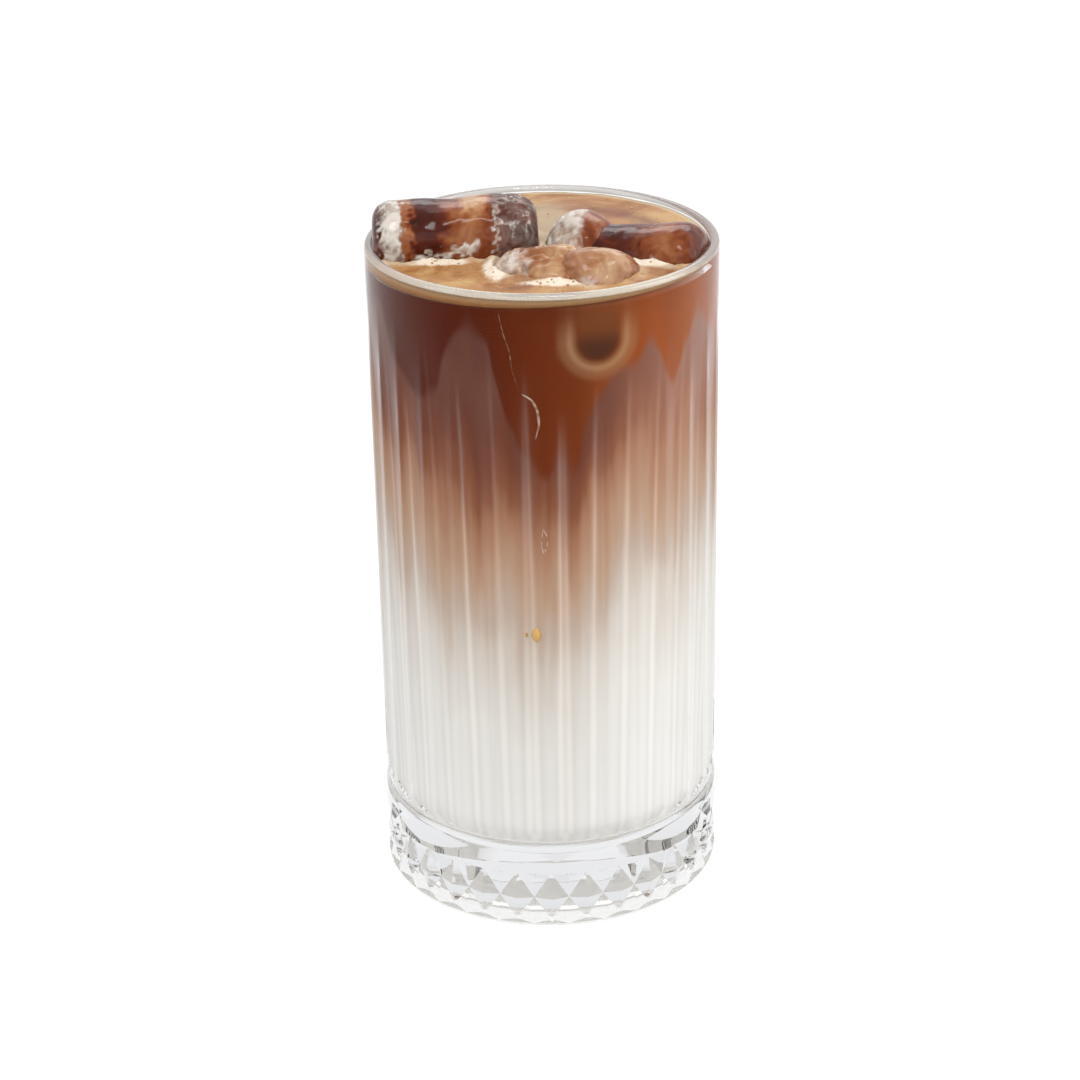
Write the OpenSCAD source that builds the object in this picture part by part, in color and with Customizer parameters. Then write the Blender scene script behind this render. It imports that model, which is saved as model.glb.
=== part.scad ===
// Iced coffee with milk in a tall cut glass: a heavy pressed glass with upright
// flutes and a band of diamonds round its foot, filled with milk, milky coffee,
// coffee and foam, with four pieces of bullet ice standing in the top.
// Units are millimetres, +Z is up, and the origin is the centre of the foot.

/* [Glass] */
// height of the glass, from foot to rim
glass_height = 151; // [110:0.5:180]
// outer width of the fluted wall
glass_width = 77; // [60:0.5:95]
// thickness of the wall at the rim
rim_wall = 2.2; // [1.6:0.1:4]
// inner width of the cavity at its floor
floor_width = 61; // [50:0.5:80]
// height of the cavity's floor, the thickness of the clear base
floor_height = 18.3; // [8:0.1:30]
// radius of the rounding between the cavity's wall and its floor
floor_corner = 5.5; // [2:0.5:12]

/* [Flutes] */
// number of upright flutes, and of diamonds below them
flute_count = 30; // [16:1:48]
// depth of a flute's valley below the outer face
flute_depth = 0.75; // [0.3:0.05:1.2]
// height at which the flutes start to run out
flute_straight_top = 120; // [60:1:130]
// height at which the flutes are gone
flute_end = 140; // [90:1:148]
// turn of the first ridge about the axis, from the right
flute_turn = 11.4; // [0:0.1:12]

/* [Base] */
// height of the groove round the glass above its base
notch_height = 21.7; // [10:0.1:35]
// depth of that groove
notch_depth = 0.85; // [0.3:0.05:1.2]
// height of the slope from the groove up to the flutes
notch_slope = 2.9; // [1:0.1:6]
// height of the rounded shoulder below the groove
shoulder_height = 2.8; // [1:0.1:6]
// how far the smooth ring stands out past the fluted wall
ring_proud = 0.2; // [0:0.05:1]
// height of the top of the diamonds
diamond_top = 13.6; // [8:0.1:20]
// height of the row of corners where diamonds meet
diamond_middle = 7.3; // [4:0.1:12]
// height of the foot of the diamonds
diamond_bottom = 1.7; // [1:0.1:4]
// depth of the grooves between diamonds
diamond_depth = 1; // [0.4:0.05:2]
// turn of the first diamond's side corner about the axis, from the right
diamond_turn = 11.4; // [0:0.1:12]
// width of the hollow under the foot
recess_width = 58; // [30:1:68]
// depth of the hollow under the foot
recess_depth = 1.2; // [0.5:0.1:4]

/* [Drink] */
// level of the drink's surface
drink_level = 149.5; // [100:0.5:150]
// how far the drink climbs the wall at its edge
climb = 0.4; // [0.1:0.1:1]
// height at which the milk gives way to milky coffee
milk_top = 70; // [30:1:100]
// height at which milky coffee gives way to coffee, between the tongues
latte_top = 128; // [100:1:140]
// thickness of the foam at the left
foam_thick = 3; // [1:0.1:6]
// thickness of the foam at the right
foam_thin = 0.6; // [0.3:0.1:3]

/* [Ice] */
// radius of the ice lying at the left
ice_left_radius = 9.8; // [6:0.1:14]
// length of the ice lying at the left
ice_left_length = 36; // [20:0.5:45]
// radius of the ice lying at the right
ice_right_radius = 9.8; // [6:0.1:14]
// length of the ice lying at the right
ice_right_length = 32; // [20:0.5:45]
// radius of the melting ice in the middle
ice_middle_radius = 7; // [5:0.1:12]
// length of the melting ice in the middle
ice_middle_length = 20; // [12:0.5:36]
// radius of the ice standing against the front wall
ice_front_radius = 7.8; // [5:0.1:12]
// length of the ice standing against the front wall
ice_front_length = 24; // [12:0.5:36]

/* [Hidden] */
$fn = 96;

wall_r = glass_width / 2;
rim_r = wall_r - rim_wall;
floor_r = floor_width / 2;
ring_r = wall_r + ring_proud;
notch_r = wall_r - notch_depth;
lip_r = rim_wall / 2;
lip_z = glass_height - lip_r;
foot_round = 1.2;            // rounding of the foot's outer edge
foot_r = ring_r - 0.05;      // the plain band under the diamonds
arc_steps = 8;               // straight pieces in a rounded edge
reach = 60;                  // past everything, for cutting

// points along a quarter ellipse from angle a0 to a1
function arc(cr, cz, rr, rz, a0, a1, n = arc_steps) =
    [for (i = [0 : n]) let (a = a0 + (a1 - a0) * i / n) [cr + rr * cos(a), cz + rz * sin(a)]];

// radius of the cavity's tapered wall at a height
wall_slope = (rim_r - floor_r) / (lip_z - floor_height);
function bore(z) = floor_r + (z - floor_height) * wall_slope;

// the cavity's outline from the middle of its floor to a height
function cavity_outline(top) = concat(
    [[0, floor_height]],
    arc(bore(floor_height + floor_corner) - floor_corner, floor_height + floor_corner,
        floor_corner, floor_corner, 270, 360),
    [[bore(top), top]]);

// ---- glass ----

// the plain foot, with a hollow under it
foot_outline = concat(
    [[0, recess_depth], [recess_width / 2 - recess_depth, recess_depth], [recess_width / 2, 0]],
    arc(foot_r - foot_round, foot_round, foot_round, foot_round, 270, 360),
    [[foot_r, diamond_bottom], [0, diamond_bottom]]);

// everything above the diamonds: smooth ring, shoulder, groove, wall, rim and cavity
body_outline = concat(
    [[0, diamond_top], [ring_r, diamond_top]],
    arc(notch_r, notch_height - shoulder_height, ring_r - notch_r, shoulder_height, 0, 90),
    [[wall_r, notch_height + notch_slope]],
    arc(wall_r - lip_r, lip_z, lip_r, lip_r, 0, 180),
    [for (i = [len(cavity_outline(lip_z)) - 2 : -1 : 0]) cavity_outline(lip_z)[i]]);

pitch = 360 / flute_count;
valley_r = wall_r - flute_depth;
ridge_gap = wall_r * cos(pitch / 2) - valley_r;
half_chord = wall_r * sin(pitch / 2);
flute_fit = 0.96;            // tightens the curve so that neighbouring flutes stay apart
flute_r = flute_fit * (pow(half_chord, 2) + pow(ridge_gap, 2)) / (2 * ridge_gap);
// a flute's hollow, cut straight up the wall
module flute() {
    translate([valley_r + flute_r, 0, notch_height])
        cylinder(h = flute_end - notch_height, r = flute_r);
}

// fills the flutes' upper ends so that they run out towards the rim
module runout_collar() {
    rotate_extrude()
        polygon([[valley_r - 0.5, flute_straight_top - 1], [valley_r - 0.05, flute_straight_top],
                 [wall_r - 0.15, flute_end + 0.3], [valley_r - 0.5, flute_end + 0.3]]);
}

// The band of diamonds is one faceted disc. Its three rings of corners run in and
// out by turns, and each groove falls from a top corner to the side corner beside it.
steps = 2 * flute_count;
high_r = ring_r - 0.1;
low_r = ring_r - diamond_depth;
function corner(i, r, z) = let (a = diamond_turn + i * pitch / 2) [r * cos(a), r * sin(a), z];
function ring(z, r_even, r_odd) = [for (i = [0 : steps - 1]) corner(i, i % 2 == 0 ? r_even : r_odd, z)];
band_points = concat(
    ring(diamond_bottom, high_r, low_r),
    ring(diamond_middle, low_r, high_r),
    ring(diamond_top, high_r, low_r),
    [[0, 0, diamond_bottom], [0, 0, diamond_top]]);
// the two faces between neighbouring corners of two rings, split along the groove
function quad(lower, i, rising) = let (
    j = (i + 1) % steps,
    a = lower * steps + i, b = lower * steps + j,
    c = (lower + 1) * steps + j, d = (lower + 1) * steps + i)
    rising ? [[a, c, b], [a, d, c]] : [[a, d, b], [b, d, c]];
band_faces = concat(
    [for (i = [0 : steps - 1]) [i, (i + 1) % steps, 3 * steps]],
    [for (k = [0 : 1], i = [0 : steps - 1], f = quad(k, i, (i + k) % 2 == 1)) f],
    [for (i = [0 : steps - 1]) [2 * steps + (i + 1) % steps, 2 * steps + i, 3 * steps + 1]]);

module diamond_band() {
    polyhedron(points = band_points, faces = band_faces);
}

module glass() {
    color([0.86, 0.9, 0.92, 0.5])
    union() {
        difference() {
            rotate_extrude() polygon(body_outline);
            for (i = [0 : flute_count - 1])
                rotate([0, 0, flute_turn + (i + 0.5) * pitch]) flute();
        }
        runout_collar();
        diamond_band();
        rotate_extrude() polygon(foot_outline);
    }
}

// ---- ice ----

// a bullet of ice along +X with rounded ends, centred at the origin
end_steps = 4;               // straight pieces in the rounding of an end
module bullet(radius, length, end_round) {
    half = length / 2;
    rotate([0, 90, 0])
        rotate_extrude()
            polygon(concat(
                [[0, -half]],
                arc(radius - end_round, end_round - half, end_round, end_round, 270, 360, end_steps),
                arc(radius - end_round, half - end_round, end_round, end_round, 0, 90, end_steps),
                [[0, half]]));
}

// everything outside the cavity, up to the rim
module wall_zone() {
    rotate_extrude()
        polygon(concat(
            [for (p = cavity_outline(glass_height)) p],
            [[reach, glass_height], [reach, 0], [0, 0]]));
}

// where each piece has its middle, and how it is turned from lying along +X
left_place = [-18.6, -1.4, 150.6];
left_turn = [0, -1.5, 2];
right_place = [20.2, -4.8, 144.8];
right_turn = [0, -7, -20];
middle_place = [-1, -15.8, 145.6];
middle_turn = [0, -3, -18];
front_place = [11.7, -23.4, 142.2];
front_turn = [0, -54, 86];
blunt_end = 5;               // rounding of an end that is still square
worn_end = 6;                // rounding of an end that has melted

module left_shape() {
    translate(left_place) rotate(left_turn) bullet(ice_left_radius, ice_left_length, blunt_end);
}

module right_shape() {
    translate(right_place) rotate(right_turn) bullet(ice_right_radius, ice_right_length, worn_end);
}

module middle_shape() {
    translate(middle_place) rotate(middle_turn) bullet(ice_middle_radius, ice_middle_length, worn_end);
}

module front_shape() {
    translate(front_place) rotate(front_turn) bullet(ice_front_radius, ice_front_length, worn_end);
}

// cut back from the wall of the cavity
module inside_wall() {
    difference() {
        children();
        wall_zone();
    }
}

module ice_left() {
    color([0.78, 0.66, 0.56, 0.7])
    inside_wall() left_shape();
}

module ice_right() {
    color([0.8, 0.7, 0.62, 0.7])
    inside_wall() right_shape();
}

module ice_middle() {
    color([0.82, 0.74, 0.68, 0.7])
    difference() {
        middle_shape();
        front_shape();
        left_shape();
        right_shape();
    }
}

module ice_front() {
    color([0.74, 0.64, 0.58, 0.7])
    difference() {
        front_shape();
        wall_zone();
        right_shape();
    }
}

// all the ice, which the drink is cut round
module all_ice() {
    left_shape();
    right_shape();
    middle_shape();
    front_shape();
}

// ---- drink ----

// the filled part of the cavity between two heights
module slice(low, high) {
    intersection() {
        rotate_extrude() polygon(concat(cavity_outline(high), [[0, high]]));
        translate([-reach, -reach, low]) cube([2 * reach, 2 * reach, high - low]);
    }
}

// a tongue of coffee that sinks into the milk below, at an angle from the front
module tongue(angle, distance, tip, width) {
    tip_r = width * 0.3;
    rotate([0, 0, angle - 90])
        translate([distance, 0, tip + tip_r]) {
            sphere(r = tip_r, $fn = 48);
            cylinder(h = latte_top + 4 - tip - tip_r, r1 = tip_r, r2 = width, $fn = 48);
        }
}

// where the coffee lies: all that is above its level, and the tongues below it
module coffee_space() {
    translate([-reach, -reach, latte_top]) cube([2 * reach, 2 * reach, reach]);
    tongue(-47, 28, 123, 7.5);
    tongue(-2, 27.5, 109, 8);
    tongue(12, 28, 111, 6);
    tongue(49, 28, 119, 5.5);
}

// a swirl of milky coffee that rises between the tongues
module milk_peak() {
    rotate([0, 0, -27 - 90])
        translate([30, 0, latte_top - 3])
            cylinder(h = 18, r1 = 7, r2 = 2, $fn = 48);
}

// underside of the foam: thick at the left and thin at the right
foam_slope = atan((foam_thick - foam_thin) / (2 * rim_r));
module above_foam_floor() {
    translate([0, 0, drink_level - (foam_thick + foam_thin) / 2])
        rotate([0, -foam_slope, 0])
            translate([-reach, -reach, 0]) cube([2 * reach, 2 * reach, reach]);
}

module milk() {
    color([0.97, 0.96, 0.94])
    slice(floor_height, milk_top);
}

module latte() {
    color([0.76, 0.62, 0.5])
    difference() {
        slice(milk_top, drink_level);
        difference() {
            coffee_space();
            milk_peak();
        }
    }
}

module coffee() {
    color([0.34, 0.14, 0.05])
    difference() {
        intersection() {
            slice(milk_top, drink_level);
            coffee_space();
        }
        milk_peak();
        above_foam_floor();
        all_ice();
    }
}

module crema() {
    color([0.8, 0.62, 0.42])
    difference() {
        intersection() {
            rotate_extrude()
                polygon(concat(
                    cavity_outline(drink_level + climb),
                    [[bore(drink_level) - 0.8, drink_level + climb / 4],
                     [bore(drink_level) - 2, drink_level], [0, drink_level]]));
            above_foam_floor();
        }
        all_ice();
    }
}

glass();
milk();
latte();
coffee();
crema();
ice_left();
ice_right();
ice_middle();
ice_front();
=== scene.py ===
# %% [markdown]
# # Iced coffee in a cut glass
#
# This lesson builds the looks of a tall iced coffee around a finished CAD part. The
# glass, the drink and the ice each have a plain solid in the part already. Here each
# one gets the shape and the finish that a close look asks for: flutes and diamonds
# in the glass, coffee that sinks into milk, wet foam, and clear melting ice.
#
# Everything is in the part's own frame: metres, +Z up, the front along -Y. Sizes are
# written in millimetres and turned into metres where a mesh is made.

import math

import bpy
import numpy as np
from mathutils import Matrix, Vector, noise


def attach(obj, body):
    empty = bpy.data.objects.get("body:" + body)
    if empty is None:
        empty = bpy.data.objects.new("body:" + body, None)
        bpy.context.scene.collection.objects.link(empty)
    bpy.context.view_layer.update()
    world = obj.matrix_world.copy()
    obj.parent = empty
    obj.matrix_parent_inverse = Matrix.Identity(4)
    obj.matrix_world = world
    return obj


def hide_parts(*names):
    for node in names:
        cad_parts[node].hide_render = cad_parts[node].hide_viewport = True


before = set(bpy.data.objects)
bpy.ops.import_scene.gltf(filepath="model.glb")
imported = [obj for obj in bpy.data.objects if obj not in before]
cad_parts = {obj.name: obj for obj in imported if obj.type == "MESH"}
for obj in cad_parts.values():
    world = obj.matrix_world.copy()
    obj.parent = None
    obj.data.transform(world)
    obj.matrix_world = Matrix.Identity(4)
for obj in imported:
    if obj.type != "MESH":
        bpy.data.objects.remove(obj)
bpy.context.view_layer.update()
MM = 0.001

# %% [markdown]
# ## The camera
#
# The camera looks down on the glass from a little over twenty-four degrees, through a
# long lens, so the sides stay almost upright. It could be placed by hand, but a camera
# built from an aim point, an elevation and a distance is easier to reason about. The
# small roll tips the picture by about one degree, as a hand-held camera would.

# %% Camera
AIM = Vector((-1.55, 0.0, 78.76)) * MM
ELEVATION = math.radians(24.46)
DISTANCE = 628.7 * MM
ROLL = math.radians(-1.044)

away = Vector((0.0, -math.cos(ELEVATION), math.sin(ELEVATION)))
level_right = Vector((1.0, 0.0, 0.0))
level_up = away.cross(level_right)
right = level_right * math.cos(ROLL) + level_up * math.sin(ROLL)
up = level_up * math.cos(ROLL) - level_right * math.sin(ROLL)


def show(name, data):
    """Puts a mesh, a lamp or a camera into the scene as an object."""
    thing = bpy.data.objects.new(name, data)
    bpy.context.scene.collection.objects.link(thing)
    return thing


lens = bpy.data.cameras.new("camera")
lens.lens = 92.2
lens.sensor_width = 36.0
lens.clip_start = 0.01
camera = show("camera", lens)
camera.matrix_world = Matrix.Translation(AIM + away * DISTANCE) @ Matrix(
    (right, up, away)).transposed().to_4x4()
bpy.context.scene.camera = camera
print("camera stands", round(DISTANCE, 3), "m away and", round(camera.location.z, 3), "m up")

# %% [markdown]
# ## Small helpers for node trees
#
# A node tree written out call by call is long. A few short helpers keep it readable:
# one adds a node and fills its inputs, some do a step of arithmetic, and some turn a
# value into a colour. A socket knows the tree it is in, so most helpers don't have to
# be told. Every pattern below is built from these.

# %% Node helpers
def fill(node, values):
    """Joins each input to the socket given for it, or sets it to the value given."""
    for key, value in values.items():
        if isinstance(value, bpy.types.NodeSocket):
            node.id_data.links.new(value, node.inputs[key])
        else:
            node.inputs[key].default_value = value


def add_node(tree, kind, values=None, **settings):
    """Adds a node, sets its properties, and fills its inputs."""
    made = tree.nodes.new(kind)
    for key, value in settings.items():
        setattr(made, key, value)
    fill(made, values or {})
    return made


def tree_of(*values):
    """The tree that the first socket among some values belongs to."""
    return next(v for v in values if isinstance(v, bpy.types.NodeSocket)).id_data


def step(operation, *values, clamp=False):
    """One step of arithmetic in the tree of its inputs, and its result."""
    joined = dict(enumerate(values))
    made = add_node(
        tree_of(*values), "ShaderNodeMath", joined, operation=operation, use_clamp=clamp)
    return made.outputs[0]


def times(a, b):
    """The product of two values."""
    return step("MULTIPLY", a, b)


def plus(a, b):
    """The sum of two values."""
    return step("ADD", a, b)


def swing(value, size):
    """Noise from 0 to 1, made into a swing of a given size round zero."""
    return times(step("SUBTRACT", value, 0.5), size)


def between(value, low, high):
    """A value mapped so that low is 0 and high is 1."""
    span = {"Value": value, "From Min": low, "From Max": high}
    return add_node(value.id_data, "ShaderNodeMapRange", span).outputs[0]


def own_place(tree):
    """Where a point is on its own object."""
    return add_node(tree, "ShaderNodeTexCoord").outputs["Object"]


def colour(hex_code):
    """A hex colour as the linear numbers that Blender's sockets take."""
    parts = [int(hex_code[i:i + 2], 16) / 255 for i in (0, 2, 4)]
    linear = tuple(p / 12.92 if p <= 0.04045 else ((p + 0.055) / 1.055) ** 2.4 for p in parts)
    return linear + (1.0,)


def ramp(value, stops, interpolation="EASE"):
    """A colour ramp through (position, hex colour or grey value) stops."""
    made = add_node(value.id_data, "ShaderNodeValToRGB", {"Fac": value})
    bar = made.color_ramp
    bar.interpolation = interpolation
    while len(bar.elements) < len(stops):
        bar.elements.new(0.5)
    for element, (place, code) in zip(bar.elements, stops):
        element.position = place
        element.color = colour(code) if isinstance(code, str) else (code, code, code, 1.0)
    return made.outputs["Color"]


def blend_colours(factor, a, b):
    """Mixes two colours by a factor. A mix node's colours are its sockets 6 and 7."""
    made = add_node(
        tree_of(factor, a, b), "ShaderNodeMix", data_type="RGBA", clamp_factor=True)
    fill(made, {0: factor, 6: a, 7: b})
    return made.outputs[2]


def noise_value(tree, scale, detail=3.0, rough=0.55, stretch=None, distortion=0.0):
    """Noise over the object's own coordinates, 0 to 1. stretch squeezes it along an axis."""
    place = own_place(tree)
    if stretch:
        place = add_node(tree, "ShaderNodeMapping", {"Vector": place, "Scale": stretch}).outputs[0]
    made = add_node(tree, "ShaderNodeTexNoise", {
        "Vector": place, "Scale": scale, "Detail": detail, "Roughness": rough,
        "Distortion": distortion})
    return made.outputs["Fac"]


def stored(tree, name):
    """A number that is stored on the mesh."""
    return add_node(tree, "ShaderNodeAttribute", attribute_name=name).outputs["Fac"]


def bumped(shader, height, strength, distance):
    """Bumps a shader's normal by a height."""
    bump = add_node(shader.id_data, "ShaderNodeBump", {
        "Height": height, "Strength": strength, "Distance": distance})
    fill(shader, {"Normal": bump.outputs[0]})


def new_material(name, values):
    """A material with an output node and a Principled shader that takes the values."""
    made = bpy.data.materials.new(name)
    made.use_nodes = True
    tree = made.node_tree
    tree.nodes.clear()
    out = tree.nodes.new("ShaderNodeOutputMaterial")
    shader = add_node(tree, "ShaderNodeBsdfPrincipled", values)
    fill(out, {"Surface": shader.outputs[0]})
    return made, tree, shader, out


print("node helpers ready")

# %% [markdown]
# ## Studio light
#
# Clear glass has no colour of its own: it shows the room. Here the room is pale, with
# the light growing towards the ceiling, and five soft boxes give the drink its shape
# and the ice its glints. Seen through the cut base a lamp would turn into hard white
# patches, so the boxes are hidden from rays that have passed through glass. What such
# rays meet instead is the even room and the floor.

# %% Light
scene = bpy.context.scene
scene.view_settings.view_transform = "Standard"
scene.view_settings.look = "None"

HORIZON_LIGHT = 0.76
CEILING_LIGHT = 1.1
CEILING_FROM = 0.8
room = bpy.data.worlds.new("room")
room.use_nodes = True
sky = add_node(room.node_tree, "ShaderNodeTexCoord").outputs["Generated"]
upward = add_node(room.node_tree, "ShaderNodeSeparateXYZ", {0: sky}).outputs["Z"]
rising = add_node(room.node_tree, "ShaderNodeMapRange", {
    "Value": upward, "From Max": CEILING_FROM, "To Min": HORIZON_LIGHT,
    "To Max": CEILING_LIGHT}).outputs[0]
fill(room.node_tree.nodes["Background"], {
    "Strength": rising, "Color": (0.965, 0.975, 1.0, 1.0)})
scene.world = room


def soft_box(name, place, size, power, target=(0.0, 0.0, 0.08)):
    """A rectangular lamp at place, turned towards the target."""
    lamp = bpy.data.lights.new(name, "AREA")
    lamp.shape = "RECTANGLE"
    lamp.size, lamp.size_y = size
    lamp.energy = power
    holder = show(name, lamp)
    holder.location = place
    turn = Vector(target) - Vector(place)
    holder.rotation_euler = turn.to_track_quat("-Z", "Y").to_euler()
    holder.visible_transmission = False
    return holder


soft_box("key_box", (0.05, -0.36, 0.86), (0.30, 0.10), 1.8)
soft_box("right_box", (0.62, -0.05, 0.42), (0.35, 0.6), 2.0)
soft_box("left_box", (-0.62, -0.25, 0.42), (0.3, 0.6), 0.9)
soft_box("front_box", (-0.15, -0.95, 0.75), (0.8, 0.5), 1.7)
soft_box("back_box", (0.1, 0.75, 0.75), (0.7, 0.35), 1.5)

# %% [markdown]
# ## The floor
#
# A sheet of pale grey would do, but the glass lets little light down to the floor that
# it stands on, and the whole base shows that dark patch. So the floor glows a little
# by itself, like a light table, and the base stays as pale as the room.

# %% Floor
FLOOR_HALF = 4.0
floor_mesh = bpy.data.meshes.new("floor")
floor_mesh.from_pydata(
    [(-FLOOR_HALF, -FLOOR_HALF, 0), (FLOOR_HALF, -FLOOR_HALF, 0),
     (FLOOR_HALF, FLOOR_HALF, 0), (-FLOOR_HALF, FLOOR_HALF, 0)], [], [(0, 1, 2, 3)])
floor = show("floor", floor_mesh)
floor_finish, tree, shader, out = new_material("studio_floor", {
    "Emission Color": (1.0, 1.0, 1.0, 1.0), "Emission Strength": 0.62, "Roughness": 0.75})
grey = ramp(noise_value(tree, 3.0), [(0.3, "929291"), (0.7, "959594")])
fill(shader, {"Base Color": grey})
floor_mesh.materials.append(floor_finish)
print("floor ready")

# %% [markdown]
# ## A turned shape
#
# The glass and the drink are both bodies of revolution before anything is cut into
# them. Blender can spin a profile, but a grid of rows and columns made in code keeps
# every vertex where it is wanted: a column on every ridge, and a row on every edge of
# the diamonds. Quads in the band of diamonds are split along the groove that crosses
# them, so that the groove comes out straight.

# %% Turned mesh
def mesh_object(name, points, faces):
    """An object with a mesh of its own, from points in mm."""
    made = bpy.data.meshes.new(name)
    made.from_pydata((points * MM).tolist(), [], faces)
    made.update()
    return show(name, made)


def turned_mesh(name, rows, angles, split=None):
    """Turns rows of (radius, height) in mm round the axis. The first and last rows are poles.
    split says, for a row and a column, which way to cut that quad, or None to keep it."""
    columns = len(angles)
    radius = np.array([r for r, z in rows[1:-1]])[:, None]
    height = np.array([z for r, z in rows[1:-1]])[:, None] * np.ones(columns)
    grid = np.stack([radius * np.cos(angles), radius * np.sin(angles), height], -1).reshape(-1, 3)
    first, last = len(grid), len(grid) + 1
    points = np.vstack([grid, [[0, 0, rows[0][1]], [0, 0, rows[-1][1]]]])
    faces = []
    around = [(j, (j + 1) % columns) for j in range(columns)]
    for j, k in around:
        faces.append((first, k, j))
    for i in range(len(rows) - 3):
        low, high = i * columns, (i + 1) * columns
        for j, k in around:
            way = split(i + 1, j) if split else None
            if way is None:
                faces.append((low + j, low + k, high + k, high + j))
            elif way:
                faces.extend([(low + j, low + k, high + k), (low + j, high + k, high + j)])
            else:
                faces.extend([(low + j, low + k, high + j), (low + k, high + k, high + j)])
    base = (len(rows) - 3) * columns
    for j, k in around:
        faces.append((last, base + j, base + k))
    return mesh_object(name, points, faces), points


def even_turn(columns):
    """Angles evenly spaced round the axis."""
    return np.arange(columns) * (2 * math.pi / columns)


def rounded(cr, cz, rr, rz, a0, a1, n):
    """Points along a quarter or half ellipse, from angle a0 to a1 in degrees."""
    steps = np.radians(np.linspace(a0, a1, n + 1))
    return [(cr + rr * math.cos(a), cz + rz * math.sin(a)) for a in steps]


# %% [markdown]
# ## The glass, before cutting
#
# A pressed glass of this kind is thick and heavy. Its wall tapers inside, from a thin
# rounded lip to a deep clear base. Outside it is nearly straight: a plain foot, a band
# for the diamonds, a smooth ring with a rounded shoulder, and a sharp groove from which
# the flutes rise.

# %% Glass outline
GLASS_HEIGHT = 151.0
WALL_R = 38.5
RING_R = 38.66
RIM_WALL = 2.2
FLOOR_Z = 18.3
FLOOR_R = 30.5
CORNER = 5.5
NOTCH_Z = 21.7
NOTCH_R = 37.65
SLOPE_TOP = 24.6
BAND_LOW, BAND_MID, BAND_TOP = 1.7, 7.3, 13.6
RIDGES = 30
FIRST_RIDGE = math.radians(11.4)
STEPS = np.array([0.0, 0.16, 0.32, 0.48, 0.63, 0.76, 0.86, 0.935, 1.0])

lip = RIM_WALL / 2
lip_z = GLASS_HEIGHT - lip
rim_r = WALL_R - RIM_WALL


def bore(z):
    """Inner radius of the wall at a height."""
    return FLOOR_R + (z - FLOOR_Z) * (rim_r - FLOOR_R) / (lip_z - FLOOR_Z)


foot_rows = [(0.0, 1.2), (14.0, 1.2), (27.4, 1.2), (28.4, 0.8), (29.2, 0.15), (30.0, 0.0),
             (36.2, 0.0)] + rounded(RING_R - 1.3, 1.2, 1.3, 1.2, 290, 350, 5)
half = len(STEPS) - 1
band_rows = [(RING_R, BAND_LOW + (BAND_MID - BAND_LOW) * a) for a in STEPS]
band_rows += [(RING_R, BAND_TOP - (BAND_TOP - BAND_MID) * a) for a in STEPS[-2::-1]]
ring_rows = [(RING_R, BAND_TOP + 0.25), (RING_R, BAND_TOP + 0.8), (RING_R, 16.5)]
ring_rows += rounded(NOTCH_R, NOTCH_Z - 2.9, RING_R - NOTCH_R, 2.8, 0, 88, 12)
slope_rows = [(NOTCH_R + (WALL_R - NOTCH_R) * t, NOTCH_Z + (SLOPE_TOP - NOTCH_Z) * t)
              for t in np.linspace(0, 1, 13)]
wall_rows = [(WALL_R, z) for z in (25.0, 27.0, 32.0)]
wall_rows += [(WALL_R, z) for z in (40.0, 50.0, 60.0, 70.0, 80.0, 90.0, 100.0, 106.0)]
wall_rows += [(WALL_R, z) for z in np.arange(110.0, 146.1, 2.0)]
lip_rows = [(WALL_R, 148.5)] + rounded(WALL_R - lip, lip_z, lip, lip, 0, 180, 22)
bore_rows = [(bore(z), z) for z in (147.0, 140.0, 128.0, 112.0, 96.0, 80.0, 64.0, 48.0, 36.0, 28.0)]
bore_rows += rounded(bore(FLOOR_Z + CORNER) - CORNER, FLOOR_Z + CORNER, CORNER, CORNER, 0, -90, 12)
floor_rows = [(16.0, FLOOR_Z), (7.0, FLOOR_Z), (0.0, FLOOR_Z)]
outer_rows = foot_rows + band_rows + ring_rows + slope_rows + wall_rows
glass_rows = outer_rows + lip_rows + bore_rows + floor_rows
outside_rows = len(outer_rows) + 1
band_start = len(foot_rows)


def groove_split(row, column):
    """Cuts a quad in the band along the diagonal groove: which diagonal it is turns over
    at every half flute and at the middle row."""
    if not band_start <= row < band_start + 2 * half:
        return None
    upper = row >= band_start + half
    towards_middle = (column // half) % 2 == 0
    return upper == towards_middle


one_flute = np.concatenate([(1 - STEPS[::-1]) / 2, (1 + STEPS[1:-1]) / 2])
columns = np.concatenate([ridge + one_flute for ridge in range(RIDGES)]) * (2 * math.pi / RIDGES)
glass, _ = turned_mesh("cut_glass", glass_rows, columns + FIRST_RIDGE, groove_split)
outside = np.zeros(len(glass.data.vertices), dtype=bool)
outside[:(outside_rows - 1) * len(columns)] = True
mark = glass.data.attributes.new("outside", "BOOLEAN", "POINT")
mark.data.foreach_set("value", outside)
print("turned glass:", len(glass.data.polygons), "faces in", len(glass_rows), "rows")

# %% [markdown]
# ## Cutting the flutes and the diamonds with Geometry Nodes
#
# The whole pattern follows one rule. Going round the glass, `a` runs from 1 on a ridge
# to 0 in the middle of a flute and back. A flute is a shallow curve in `a` that fades
# out near the rim. A diamond is a tent in `a` and height: where the two add up to 1
# there is a groove, and the surface rises away from it on both sides. A node tree that
# works out the new radius from these and moves each point is short, and its sizes
# stay open as named inputs.

# %% Cut pattern tree
PATTERN_SIZES = {
    "Flutes": RIDGES, "First Ridge": FIRST_RIDGE, "Wall Radius": WALL_R * MM, "Flute Depth": 0.75 * MM,
    "Ridge Start": 0.86, "Flute Foot": (NOTCH_Z + 0.1) * MM, "Fade From": 112 * MM, "Fade To": 143 * MM,
    "Ring Radius": RING_R * MM, "Diamond Depth": 1.0 * MM, "Diamond Foot": BAND_LOW * MM,
    "Diamond Middle": BAND_MID * MM, "Diamond Top": BAND_TOP * MM}

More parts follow.
